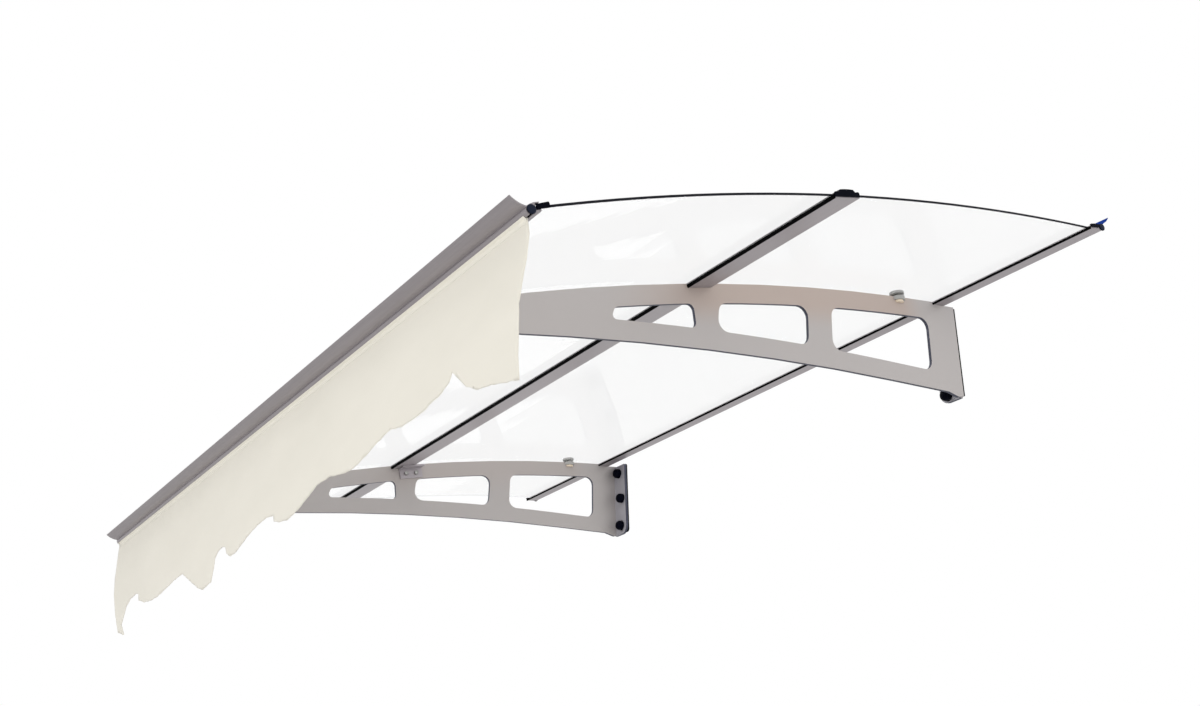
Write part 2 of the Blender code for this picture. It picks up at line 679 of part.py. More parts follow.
def hold_down(side, looks):
    """Knob, washer and screw over the rear panel on a bracket, and the collar and slotted pad under it."""
    roof = roof_frame(HOLD_REACH, PLACES[side])
    frame = roof @ Matrix(((1, 0, 0, 0), (0, 0, 1, 0), (0, -1, 0, 0), (0, 0, 0, 1)))
    washer = PANEL_THICKNESS + GAP
    knob = washer + KNOB_WASHER + GAP
    top = knob + KNOB_HEIGHT
    hole = HOLD_SCREW_RADIUS + HOLE_CLEARANCE
    ring = [(hole, washer), (KNOB_WASHER_RADIUS, washer)]
    ring += [(KNOB_WASHER_RADIUS, washer + KNOB_WASHER), (hole, washer + KNOB_WASHER)]
    turned(f"hold_washer_{side}", ring, frame, looks["rubber"], closed=True)
    body = [
        (0, knob + HOLD_SCREW_IN_KNOB + GAP), (hole, knob + HOLD_SCREW_IN_KNOB + GAP), (hole, knob),
        (KNOB_RADIUS, knob), (KNOB_RADIUS, top - KNOB_BEVEL), (KNOB_RADIUS - KNOB_BEVEL, top), (0, top),
    ]
    turned(f"hold_knob_{side}", body, frame, looks["knob"], 24)
    screw = [(0, -HOLD_SCREW_IN_PLATE), (HOLD_SCREW_RADIUS, -HOLD_SCREW_IN_PLATE)]
    screw += [(HOLD_SCREW_RADIUS, knob + HOLD_SCREW_IN_KNOB), (0, knob + HOLD_SCREW_IN_KNOB)]
    turned(f"hold_screw_{side}", screw, frame, looks["steel"], 12)
    shoulder = -GAP - COLLAR_HEIGHT
    ring = [(COLLAR_BORE, shoulder), (COLLAR_RADIUS, shoulder), (COLLAR_RADIUS, -GAP), (COLLAR_BORE, -GAP)]
    collar = turned(f"hold_collar_{side}", ring, frame, looks["knob"], 24, closed=True)
    saddle_slot(collar, roof, looks["knob"])
    low = -GAP - PAD_HEIGHT
    neck = COLLAR_BORE - GAP
    foot = [(hole, low), (PAD_RADIUS, low), (PAD_RADIUS, shoulder - GAP)]
    foot += [(neck, shoulder - GAP), (neck, -GAP), (hole, -GAP)]
    pad = turned(f"hold_pad_{side}", foot, frame, looks["nylon"], 24, closed=True)
    saddle_slot(pad, roof, looks["nylon"])
    plate = bpy.data.objects[f"bracket_{side}"]
    panel = bpy.data.objects["rear_panel"]
    drill(plate, frame, hole, -HOLD_SCREW_IN_PLATE - GAP, 0, looks["painted"], 12)
    drill(panel, frame, hole, -PANEL_THICKNESS, 2 * PANEL_THICKNESS, looks["clear"], 12)


def screw(name, frame, start, end, head_at_start, look):
    """A plain pan-head screw from start to end along the frame's third axis."""
    inner = [(0, end), (CLEAT_SCREW_RADIUS, end), (CLEAT_SCREW_RADIUS, head_at_start)]
    head = [(CLEAT_HEAD_RADIUS, head_at_start), (CLEAT_HEAD_RADIUS, start + CLEAT_HEAD * 0.3)]
    head += [(CLEAT_HEAD_RADIUS * 0.6, start), (0, start)]
    turned(name, inner + head, frame, look, 12)


def cleat(side, where, reach, length, shift, seat_drop, screws, looks):
    """An angle on the inner face of a bracket, under a bar, with its screws."""
    sign = SIDES[side]
    roof = roof_frame(reach, PLACES[side] - sign * PLATE / 2)
    turn = Matrix(((0, 0, 1, 0), (0, 1, 0, 0), (-sign, 0, 0, 0), (0, 0, 0, 1)))
    frame = roof @ turn
    top = -seat_drop
    low = top - CLEAT_LEG
    outline = [
        (GAP, top), (CLEAT_LEG, top), (CLEAT_LEG, top - CLEAT_THICKNESS),
        (GAP + CLEAT_THICKNESS, top - CLEAT_THICKNESS), (GAP + CLEAT_THICKNESS, low), (GAP, low),
    ]
    name = f"{where}_cleat_{side}"
    piece = prism(name, outline, shift - length / 2, shift + length / 2, frame, looks["alloy"])
    plate = bpy.data.objects[f"bracket_{side}"]
    hole = CLEAT_SCREW_RADIUS + HOLE_CLEARANCE
    mid_v = (top + low) / 2 - CLEAT_THICKNESS / 2
    face = GAP + CLEAT_THICKNESS + GAP
    for index in range(screws):
        u = shift + CLEAT_SCREW_PITCH * (index - (screws - 1) / 2)
        across = roof @ Matrix(((1, 0, 0, u), (0, 1, 0, mid_v), (0, 0, -sign, 0), (0, 0, 0, 1)))
        drill(piece, across, hole, -GAP, face + GAP, looks["alloy"], 12)
        drill(plate, across, hole, -CLEAT_SCREW_IN_PLATE - GAP, GAP, looks["painted"], 12)
        ends = (face + CLEAT_HEAD, -CLEAT_SCREW_IN_PLATE)
        screw(f"{name}_screw_{index + 1}", across, *ends, face, looks["steel"])


def end_cap(name, outline, frame, side, look, thickness=END_CAP):
    """A moulded cap over a bar's end, its outer edge eased."""
    start = HALF_WIDTH + GAP
    sign = SIDES[side]
    cap = prism(name, outline, sign * start, sign * (start + thickness), frame, look)
    ease = cap.modifiers.new("Ease", "BEVEL")
    ease.width = END_CAP_BEVEL
    ease.segments = 2
    ease.limit_method = "ANGLE"
    ease.angle_limit = math.radians(60)
    return cap


def mid_cap_outline():
    """The middle bar's end: a dome over the top flange and a lobe over each panel slot."""
    low = -MID_DEPTH + CAP_MARGIN
    front = MID_HALF_WIDTH + GASKET_LIP
    rear = -MID_REAR_EDGE + CAP_MARGIN
    top = MID_TOP_HALF_WIDTH
    edge = SLOT_TOP + MID_TOP_EDGE
    lobe = ((0.0008, MID_CAP_LOBE * 0.8), (0.0022, MID_CAP_LOBE), (0.0040, MID_CAP_LOBE * 0.9))
    valley = MID_CAP_LOBE * 0.5
    outline = [(front, low), (front, 0.0)]
    outline += [(front - inset, height) for inset, height in lobe]
    outline += [(MID_CAP_VALLEY, valley)]
    outline += [(top * k, edge + MID_CROWN * (1 - k * k)) for k in (0.9, 0.6, 0.3, 0, -0.3, -0.6, -0.9)]
    outline += [(-MID_CAP_VALLEY, valley)]
    outline += [(rear + inset, height) for inset, height in reversed(lobe)]
    outline += [(rear, 0.0), (rear, low)]
    return outline


def bar_ends(side, looks):
    sign = SIDES[side]
    black = looks["black"]
    end_cap(f"mid_cap_{side}", mid_cap_outline(), roof_frame(MID_REACH), side, black)
    rear = roof_frame(REAR_REACH)
    wrap = [
        (REAR_MOUTH - GASKET_LIP, -REAR_DEPTH + CAP_MARGIN), (REAR_MOUTH + 2 * GASKET_LIP, CAP_MARGIN),
        (REAR_MOUTH, SLOT_TOP * 0.65), (REAR_JAW_REACH, SLOT_TOP), (-REAR_JAW_REACH, SLOT_TOP),
        (-REAR_JAW_REACH, -REAR_GASKET),
    ]
    end_cap(f"rear_cap_{side}", wrap, rear, side, black)
    y, z = from_section(rear, REAR_BEAD_U, REAR_BEAD_V)
    start = HALF_WIDTH + GAP
    plug_frame = frame_of(Vector((0, y, z)), Vector((0, sign, 0)), Vector((0, 0, 1)), Vector((sign, 0, 0)))
    stem = REAR_BEAD_BORE - GAP
    plug = [
        (0, start - 0.008), (stem, start - 0.008), (stem, start), (REAR_PLUG_RADIUS, start),
        (REAR_PLUG_RADIUS, start + END_CAP * 0.6), (REAR_PLUG_RADIUS * 0.75, start + END_CAP),
        (0, start + END_CAP * 1.1),
    ]
    turned(f"rear_plug_{side}", plug, plug_frame, black, 20)
    front = roof_frame(PANEL_FRONT_REACH)
    rear = -FRONT_CAP_DEPTH
    jaws = [
        (PANEL_END_GAP, -FRONT_GASKET - GAP), (PANEL_END_GAP, SLOT_TOP * 0.5), (rear, SLOT_TOP * 0.8),
        (rear - CAP_MARGIN, SLOT_TOP * 0.3), (rear, -FRONT_GASKET - GAP),
    ]
    cap = end_cap(f"front_cap_{side}", jaws, front, side, black)
    low, high = 2 * GAP, SLOT_TOP * 0.55
    tongue = [(rear + FIT, low), (-JAW_DEPTH - FIT, low), (-JAW_DEPTH - FIT, high), (rear + FIT, high)]
    ends = (sign * (HALF_WIDTH - PANEL_END_INSET + GAP), sign * (HALF_WIDTH + END_CAP))
    combine(cap, prism(f"front_cap_{side}.tongue", tongue, *ends, front, black), "UNION")
    knob = [
        (0, start), (CHANNEL_KNOB_RADIUS, start), (CHANNEL_KNOB_RADIUS, start + CHANNEL_KNOB * 0.6),
        (CHANNEL_KNOB_RADIUS * 0.75, start + CHANNEL_KNOB * 0.95), (0, start + CHANNEL_KNOB),
    ]
    turned(f"channel_knob_{side}", knob, channel_frame(0.0, sign), black, 20)


def build():
    clear_scene()
    looks = {
        "painted": material("bracket paint", (0.45, 0.41, 0.38), 0.45, 0.4),
        "alloy": material("bar aluminium", (0.32, 0.29, 0.31), 0.4, 0.8),
        "clear": material("clear polycarbonate", (0.9, 0.93, 0.95), 0.05, 0.0, 0.2),
        "black": material("black moulding", (0.01, 0.01, 0.02), 0.4),
        "rubber": material("black rubber", (0.008, 0.008, 0.01), 0.7),
        "blue": material("blue lip", (0.01, 0.06, 0.28), 0.35),
        "steel": material("zinc steel", (0.5, 0.5, 0.5), 0.35, 1.0),
        "knob": material("grey moulding", (0.33, 0.33, 0.33), 0.5),
        "nylon": material("cream nylon", (0.75, 0.66, 0.52), 0.5),
        "cloth": material("cream cloth", (0.81, 0.78, 0.69), 0.9),
    }
    web = MID_WEB / 2 + GAP
    roof_panel("rear_panel", REAR_REACH + FIT, MID_REACH - web, looks["clear"])
    roof_panel("front_panel", MID_REACH + web, PANEL_FRONT_REACH, looks["clear"])
    mid_bar(looks["alloy"])
    rear_bar(looks["alloy"])
    front_bar(looks["alloy"])
    wall_lip(looks["blue"])
    rubber = looks["rubber"]
    strip = (MID_GASKET_WIDTH, MID_GASKET)
    edge_gasket("mid_gasket_front", MID_REACH, MID_HALF_WIDTH, *strip, MID_DEPTH, rubber)
    flat_gasket("mid_gasket_rear", MID_REACH, -MID_REAR_EDGE, *strip, rubber)
    strip = (REAR_GASKET_WIDTH, REAR_GASKET)
    edge_gasket("rear_gasket", REAR_REACH, REAR_MOUTH, *strip, REAR_DEPTH, rubber)
    flat_gasket("front_gasket", PANEL_FRONT_REACH, -JAW_DEPTH, FRONT_GASKET_WIDTH, FRONT_GASKET, rubber)
    valance(looks["black"], looks["cloth"])
    for side in SIDES:
        bracket(side, looks["painted"])
        wall_gasket(side, looks["rubber"])
        for index, height in enumerate(bolt_heights(side), 1):
            wall_fixing(side, index, height, looks["steel"], looks["black"])
        hold_down(side, looks)
        cleat(side, "mid", MID_REACH, MID_CLEAT_LENGTH, MID_CLEAT_SHIFT, SEAT_DROP_MID, 2, looks)
        front_middle = PANEL_FRONT_REACH - FRONT_CLEAT_BACK - FRONT_CLEAT_LENGTH / 2
        cleat(side, "front", front_middle, FRONT_CLEAT_LENGTH, 0.0, SEAT_DROP_FRONT, 1, looks)
        bar_ends(side, looks)


build()
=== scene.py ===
import math

import bmesh
import bpy
from mathutils import Matrix, Vector, noise


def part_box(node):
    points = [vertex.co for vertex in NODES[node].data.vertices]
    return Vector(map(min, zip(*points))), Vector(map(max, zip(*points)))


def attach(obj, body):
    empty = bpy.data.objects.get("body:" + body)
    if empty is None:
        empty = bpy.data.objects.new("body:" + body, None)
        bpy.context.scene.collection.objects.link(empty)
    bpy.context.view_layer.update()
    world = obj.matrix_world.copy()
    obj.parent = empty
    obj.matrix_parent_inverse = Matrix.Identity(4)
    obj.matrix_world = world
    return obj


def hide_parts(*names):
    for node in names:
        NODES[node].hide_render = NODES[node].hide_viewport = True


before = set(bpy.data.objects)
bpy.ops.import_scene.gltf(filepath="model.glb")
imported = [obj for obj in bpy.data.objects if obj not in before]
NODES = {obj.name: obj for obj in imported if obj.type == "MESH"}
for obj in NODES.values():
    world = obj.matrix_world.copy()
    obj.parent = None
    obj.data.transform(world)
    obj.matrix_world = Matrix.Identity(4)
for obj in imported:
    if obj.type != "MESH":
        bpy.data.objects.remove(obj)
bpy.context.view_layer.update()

# The photograph's viewpoint: its place, two of its axes, and its lens on a sensor 36 mm wide
CAMERA_AT = Vector((1.8348, -1.4892, -0.7978))
CAMERA_RIGHT = Vector((0.5267, 0.84959, -0.02799))
CAMERA_UP = Vector((0.31612, -0.16521, 0.93422))
CAMERA_LENS = 43.19

# Surroundings: the glow's strength from below and from above, and each lamp's name, place, target,
# size, power and colour
GLOW = (0.54, 0.85)
FLOOR_HEIGHT = -2.3
FLOOR_SIZE = 14
LAMPS = (
    ("key", (3.2, -1.4, -0.5), (0.2, -0.4, -0.1), (1.6, 1.6), 20, (1, 1, 1)),
    ("wall side", (1.5, 0.5, -0.5), (0.46, -0.15, -0.07), (0.5, 0.5), 3.3, (0.95, 0.98, 1.0)),
    ("far side", (0.05, -0.30, -0.45), (-0.46, -0.02, -0.07), (0.3, 0.3), 0.75, (1, 1, 1)),
    ("front", (0.2, -3.8, -0.7), (0, -0.88, -0.24), (2.4, 1.2), 22, (1, 1, 1)),
    ("top", (0.4, -1.2, 2.4), (0, -0.4, -0.1), (2.2, 2.2), 16, (1, 1, 1)),
)

# The roof's height at y is near to ROOF_SLOPE * y - ROOF_CURVE * y * y
ROOF_SLOPE = 0.0543
ROOF_CURVE = 0.1619

# Painted warm light on the brackets' paint, with height below the roof, and along y, at the wall's
# end and at the front end. The far bracket, below the sides' range of x, has these shares of the
# painted warm light and of the tone, its lower tone being painted shade.
PAINTED_LIGHT_BAND = (-0.060, -0.018)
PAINTED_LIGHT_WALL_END = (-0.060, -0.110)
PAINTED_LIGHT_FRONT_END = (-0.620, -0.440)
SIDES = (-0.1, 0.1)
FAR_PAINTED_LIGHT = 0.25
FAR_PAINTED_SHADE = 0.88

# Brackets: faces this near to the wall are the flange's, its ends show the cut edge as far as its
# tip, and all edges are eased
FLANGE_DEPTH = 0.006
FLANGE_TIP = 0.010
BRACKET_EASE = 0.0005

# Plugs and channel knobs: faces this near to the outer end are the middle, with a painted highlight
PLUG_MIDDLE_DEPTH = 0.0007

# Gasket lips: the height of a gasket's lowest part, and how far it is let down
LIP_HEIGHT = 0.0006
LIP_DROPS = (("mid_gasket_front", 0.0009), ("rear_gasket", 0.0013))

# Valance cloth: its grid's step, the height that hangs straight, the height over which the folds
# open below that, and the fray of its edges along z, coarse and fine, and along x
CLOTH_THICKNESS = 0.0011
CLOTH_STEP = 0.006
CLOTH_STRAIGHT = 0.012
CLOTH_OPENING = 0.12
CLOTH_SWAY = 0.0008
FRAY_COARSE = 0.0012
FRAY_FINE = 0.0005
FRAY_SIDEWAYS = 0.0008

# Facing: a tape that rises from the cloth and goes round the lower front of the bar's channel. The
# places of its rise are y and z from the channel's centre, and its arc is in degrees round it.
CHANNEL_RADIUS = 0.0059
FACING_RISE = ((-0.0004, -0.0115), (-0.0008, -0.0092), (-0.0010, -0.0078), (-0.0013, -0.0069))
FACING_ARC = (256, 227)
FACING_OFF_CHANNEL = 0.0006
FACING_THICKNESS = 0.0006
FACING_COLUMNS = 120

# Tones
BRACKET = (0.447, 0.418, 0.408)
# Painted warm light on the brackets' paint
BRACKET_PAINTED_LIGHT = (0.452, 0.375, 0.335)
# Painted shade: the flanges' front faces darker and cooler than the bracket's paint
FLANGE_FRONT_PAINTED_SHADE = (0.400, 0.390, 0.425)
CUT_EDGE = (0.055, 0.058, 0.085)
BAR = (0.392, 0.360, 0.378)
# Painted shade: the front bar is the bars' aluminium, darker
FRONT_BAR_PAINTED_SHADE = (0.312, 0.286, 0.300)
ZINC = (0.48, 0.48, 0.46)
BLACK = (0.0008, 0.0012, 0.0045)
# Painted highlight: grey-blue on the outer end faces of the black plugs and knobs
PLUG_END_PAINTED_HIGHLIGHT = (0.010, 0.014, 0.028)
RUBBER = (0.0010, 0.0010, 0.0012)
BLUE = (0.001, 0.028, 0.21)
KNOB = (0.36, 0.355, 0.345)
NYLON = (0.76, 0.64, 0.50)
CLEAR = (0.97, 0.985, 0.99)
# Painted shade on the panels' near sawn edge, painted light on the far sawn edge
SAWN_EDGE_PAINTED_SHADE = (0.004, 0.004, 0.008)
SAWN_EDGE_PAINTED_LIGHT = (0.72, 0.75, 0.77)
CLOTH = (0.81, 0.775, 0.687)
FLOOR = (0.80, 0.80, 0.79)

# Stretch of a pattern that runs along the bars
DRAWN = (0.5, 60, 60)


def make_camera():
    camera = bpy.data.cameras.new("camera")
    camera.sensor_fit = "HORIZONTAL"
    camera.sensor_width = 36
    camera.lens = CAMERA_LENS
    camera.clip_start = 0.01
    view = bpy.data.objects.new("camera", camera)
    right = CAMERA_RIGHT.normalized()
    back = right.cross(CAMERA_UP).normalized()
    up = back.cross(right)
    turn = Matrix((right, up, back)).transposed()
    view.matrix_world = Matrix.Translation(CAMERA_AT) @ turn.to_4x4()
    bpy.context.scene.collection.objects.link(view)
    bpy.context.scene.camera = view


def area_light(name, at, towards, size, power, color):
    light = bpy.data.lights.new(name, "AREA")
    light.shape = "RECTANGLE"
    light.size, light.size_y = size
    light.energy = power
    light.color = color
    lamp = bpy.data.objects.new(name, light)
    lamp.location = at
    lamp.rotation_euler = (Vector(towards) - Vector(at)).to_track_quat("-Z", "Y").to_euler()
    lamp.visible_camera = False
    lamp.visible_glossy = False
    lamp.visible_transmission = False
    bpy.context.scene.collection.objects.link(lamp)


def make_studio():
    """A world that is white to the eye and a softer light, brighter above than below, and lamps."""
    world = bpy.data.worlds.new("studio")
    bpy.context.scene.world = world
    world.use_nodes = True
    tree = world.node_tree
    tree.nodes.clear()
    out = tree.nodes.new("ShaderNodeOutputWorld")
    mix = tree.nodes.new("ShaderNodeMixShader")
    seen = tree.nodes.new("ShaderNodeBackground")
    seen.inputs["Color"].default_value = (1, 1, 1, 1)
    seen.inputs["Strength"].default_value = 1.0
    glow = tree.nodes.new("ShaderNodeBackground")
    glow.inputs["Strength"].default_value = 1.0
    place = tree.nodes.new("ShaderNodeTexCoord")
    parts = tree.nodes.new("ShaderNodeSeparateXYZ")
    ramp = tree.nodes.new("ShaderNodeMapRange")
    ramp.inputs["From Min"].default_value = -1
    ramp.inputs["From Max"].default_value = 1
    ramp.inputs["To Min"].default_value, ramp.inputs["To Max"].default_value = GLOW
    path = tree.nodes.new("ShaderNodeLightPath")
    first = tree.nodes.new("ShaderNodeMath")
    first.operation = "MAXIMUM"
    second = tree.nodes.new("ShaderNodeMath")
    second.operation = "MAXIMUM"
    link = tree.links.new
    link(place.outputs["Generated"], parts.inputs[0])
    link(parts.outputs["Z"], ramp.inputs["Value"])
    link(ramp.outputs["Result"], glow.inputs["Color"])
    link(path.outputs["Is Camera Ray"], first.inputs[0])
    link(path.outputs["Is Glossy Ray"], first.inputs[1])
    link(first.outputs[0], second.inputs[0])
    link(path.outputs["Is Transmission Ray"], second.inputs[1])
    link(second.outputs[0], mix.inputs["Fac"])
    link(glow.outputs[0], mix.inputs[1])
    link(seen.outputs[0], mix.inputs[2])
    link(mix.outputs[0], out.inputs["Surface"])
    for lamp in LAMPS:
        area_light(*lamp)


def make_floor():
    mesh = bpy.data.meshes.new("floor")
    shape = bmesh.new()
    bmesh.ops.create_grid(shape, x_segments=1, y_segments=1, size=FLOOR_SIZE)
    shape.to_mesh(mesh)
    shape.free()
    floor = bpy.data.objects.new("floor", mesh)
    floor.location = (0, 0, FLOOR_HEIGHT)
    bpy.context.scene.collection.objects.link(floor)
    look = bpy.data.materials.new("floor")
    look.use_nodes = True
    tree = look.node_tree
    shader = tree.nodes["Principled BSDF"]
    shader.inputs["Base Color"].default_value = (*FLOOR, 1)
    shader.inputs["Roughness"].default_value = 0.9
    mesh.materials.append(look)


class Look:
    """A material built up with nodes on a Principled shader."""

    def __init__(self, name, color, roughness=0.5, metallic=0.0, **sockets):
        self.material = bpy.data.materials.new(name)
        self.material.use_nodes = True
        self.tree = self.material.node_tree
        self.shader = self.tree.nodes["Principled BSDF"]
        self.color = color
        self.set("Base Color", (*color, 1))
        self.set("Roughness", roughness)
        self.set("Metallic", metallic)
        for socket, value in sockets.items():
            self.set(socket.replace("_", " "), value)

    def set(self, socket, value):
        self.shader.inputs[socket].default_value = value

    def node(self, kind, **settings):
        made = self.tree.nodes.new(kind)
        for key, value in settings.items():
            setattr(made, key, value)
        return made

    def link(self, source, target):
        self.tree.links.new(source, target)

    def place(self, stretch=(1, 1, 1)):
        """Object coordinates, drawn out along the axes."""
        where = self.node("ShaderNodeTexCoord")
        scale = self.node("ShaderNodeMapping")
        scale.inputs["Scale"].default_value = stretch
        self.link(where.outputs["Object"], scale.inputs["Vector"])
        return scale.outputs["Vector"]

    def noise(self, scale, detail=4.0, stretch=(1, 1, 1), rough=0.55):
        made = self.node("ShaderNodeTexNoise")
        made.inputs["Scale"].default_value = scale
        made.inputs["Detail"].default_value = detail
        made.inputs["Roughness"].default_value = rough
        self.link(self.place(stretch), made.inputs["Vector"])
        return made.outputs["Fac"]

    def maths(self, operation, *values):
        """A Math node on sockets and plain numbers."""
        made = self.node("ShaderNodeMath", operation=operation)
        for index, value in enumerate(values):
            if isinstance(value, float):
                made.inputs[index].default_value = value
            else:
                self.link(value, made.inputs[index])
        return made.outputs[0]

    def span(self, value, start, end, low=0.0, high=1.0, smooth=False):
        """Runs from low to high while the value runs from start to end."""
        made = self.node("ShaderNodeMapRange")
        if smooth:
            made.interpolation_type = "SMOOTHSTEP"
        made.inputs["From Min"].default_value = start
        made.inputs["From Max"].default_value = end
        made.inputs["To Min"].default_value = low
        made.inputs["To Max"].default_value = high
        self.link(value, made.inputs["Value"])
        return made.outputs["Result"]

    def tint(self, fac, low, high):
        """The base colour runs between two multiples of itself as fac rises."""
        ramp = self.node("ShaderNodeValToRGB")
        first, last = ramp.color_ramp.elements
        first.position, last.position = (0.3, 0.7)
        first.color = (*[c * k for c, k in zip(self.color, low)], 1)
        last.color = (*[min(c * k, 1) for c, k in zip(self.color, high)], 1)
        self.link(fac, ramp.inputs["Fac"])
        self.link(ramp.outputs["Color"], self.shader.inputs["Base Color"])

    def rough(self, fac, low, high):
        self.link(self.span(fac, 0, 1, low, high), self.shader.inputs["Roughness"])

    def bump(self, fac, distance, strength=1.0):
        relief = self.node("ShaderNodeBump")
        relief.inputs["Distance"].default_value = distance
        relief.inputs["Strength"].default_value = strength
        before = self.shader.inputs["Normal"]
        if before.links:
            self.link(before.links[0].from_socket, relief.inputs["Normal"])
        self.link(fac, relief.inputs["Height"])
        self.link(relief.outputs["Normal"], self.shader.inputs["Normal"])


def even(amount):
    return (amount, amount, amount)


def edge_looks():
    """The front of the brackets' flanges in painted shade, and the cut edges of the plates."""
    flange = Look("bracket flange front with painted shade", FLANGE_FRONT_PAINTED_SHADE, 0.45, 0.25)
    flange.tint(flange.noise(30, 3), even(0.96), even(1.04))
    flange.bump(flange.noise(1400, 2), 0.00004, 0.5)
    edge = Look("bracket cut edge", CUT_EDGE, 0.5, 0.4)
    edge.tint(edge.noise(220, 3), even(0.7), even(1.4))
    edge.bump(edge.noise(900, 2), 0.00005, 0.6)
    return {"flange": flange.material, "cut edge": edge.material}


def bar_look(name, color):
    """Extruded aluminium, with faint marks drawn out along the bar."""
    bar = Look(f"extruded aluminium {name}", color, 0.4, 0.55)
    bar.tint(bar.noise(14, 4, DRAWN), even(0.94), even(1.06))
    bar.rough(bar.noise(20, 3, DRAWN), 0.32, 0.46)
    bar.bump(bar.noise(30, 3, DRAWN), 0.00003, 0.5)
    return bar.material


def zinc_look():
    zinc = Look("zinc plate", ZINC, 0.32, 1.0)
    zinc.tint(zinc.noise(300, 3), even(0.8), even(1.1))
    zinc.rough(zinc.noise(500, 2), 0.25, 0.45)
    return zinc.material


def dark_looks():
    """Black mouldings, a painted highlight for the middle of the plugs, and rubber."""
    black = Look("black moulding", BLACK, 0.34, 0.0, Specular_IOR_Level=0.035)
    black.rough(black.noise(600, 3), 0.26, 0.42)
    black.bump(black.noise(2200, 2), 0.00003, 0.5)
    middle = Look("grey-blue painted highlight", PLUG_END_PAINTED_HIGHLIGHT, 0.4, Specular_IOR_Level=0.08)
    middle.tint(middle.noise(500, 3), even(0.85), even(1.1))
    rubber = Look("black rubber", RUBBER, 0.62, 0.0, Specular_IOR_Level=0.02)
    rubber.rough(rubber.noise(300, 3), 0.55, 0.75)
    rubber.bump(rubber.noise(1500, 3), 0.00005, 0.6)
    return {"black": black.material, "plug middle": middle.material, "rubber": rubber.material}


def light_looks():
    """The wall lip's blue vinyl, the hold-down's grey moulding and its cream pad."""
    blue = Look("blue vinyl", BLUE, 0.35, 0.0, Specular_IOR_Level=0.05)
    blue.tint(blue.noise(60, 2, (0.3, 1, 1)), even(0.8), even(1.3))
    knob = Look("grey moulding", KNOB, 0.5, Specular_IOR_Level=0.2)
    knob.tint(knob.noise(500, 3), even(0.93), even(1.05))
    knob.bump(knob.noise(1800, 2), 0.00004, 0.6)
    nylon = Look("cream nylon", NYLON, 0.45, Subsurface_Weight=0.1)
    nylon.set("Subsurface Radius", (0.004, 0.003, 0.002))
    nylon.tint(nylon.noise(400, 2), even(0.94), even(1.04))
    return {"blue": blue.material, "knob": knob.material, "nylon": nylon.material}


def panel_looks():
    """Clear faces, painted shade on the sawn edge at the near end and painted light on the one at
    the far end.
    """
    clear = Look("clear polycarbonate", CLEAR, Transmission_Weight=1.0, IOR=1.12, Alpha=0.12)
    clear.rough(clear.noise(9, 3), 0.015, 0.045)
    dark = Look("near sawn edge with painted shade", SAWN_EDGE_PAINTED_SHADE, 0.4, Specular_IOR_Level=0.15)
    dark.rough(dark.noise(700, 3), 0.3, 0.55)
    dark.bump(dark.noise(1600, 2), 0.00005, 0.7)
    pale = Look("far sawn edge with painted light", SAWN_EDGE_PAINTED_LIGHT, Transmission_Weight=0.5, IOR=1.2, Alpha=0.35)
    pale.rough(pale.noise(700, 3), 0.3, 0.5)
    return {"clear": clear.material, "panel edge": dark.material, "pale edge": pale.material}


def make_looks():
    looks = {"bracket": bracket_look(), "zinc": zinc_look(), "cloth": cloth_look()}
    looks["bar"] = bar_look("bar", BAR)
    # The front bar's copy is darker, as painted shade
    looks["front bar with painted shade"] = bar_look("front bar with painted shade", FRONT_BAR_PAINTED_SHADE)
    for group in (edge_looks(), dark_looks(), light_looks(), panel_looks()):
        looks.update(group)
    return looks


def bracket_look():
    """Satin paint, with painted warm light under the roof on the near bracket and painted shade on
    the far one.
    """
    look = Look("bracket paint with painted light and shade", BRACKET, 0.42, 0.25)
    parts = look.node("ShaderNodeSeparateXYZ")
    look.link(look.node("ShaderNodeTexCoord").outputs["Object"], parts.inputs[0])
    x, y, z = parts.outputs
    arc = look.maths("MULTIPLY_ADD", look.maths("MULTIPLY", y, y), ROOF_CURVE, z)
    below_roof = look.maths("MULTIPLY_ADD", y, -ROOF_SLOPE, arc)
    # Painted warm light: a band under the roof, fading towards the wall's end, the front end and
    # the far bracket
    painted_warm_light = look.span(below_roof, *PAINTED_LIGHT_BAND, smooth=True)
    limits = (
        look.span(y, *PAINTED_LIGHT_WALL_END, smooth=True),
        look.span(y, *PAINTED_LIGHT_FRONT_END, smooth=True),
        look.span(x, *SIDES, low=FAR_PAINTED_LIGHT),
    )
    for limit in limits:
        painted_warm_light = look.maths("MULTIPLY", painted_warm_light, limit)
    tone = look.node("ShaderNodeValToRGB")
    first, last = tone.color_ramp.elements
    first.color = (*BRACKET, 1)
    last.color = (*BRACKET_PAINTED_LIGHT, 1)
    look.link(painted_warm_light, tone.inputs["Fac"])
    # Painted shade: the far bracket's tone is scaled darker
    shade = look.node("ShaderNodeVectorMath", operation="SCALE")
    look.link(tone.outputs["Color"], shade.inputs[0])
    look.link(look.span(x, *SIDES, low=FAR_PAINTED_SHADE), shade.inputs["Scale"])
    look.link(shade.outputs[0], look.shader.inputs["Base Color"])
    look.rough(look.noise(40, 3), 0.36, 0.48)
    look.bump(look.noise(1400, 2), 0.00004, 0.5)
    return look.material


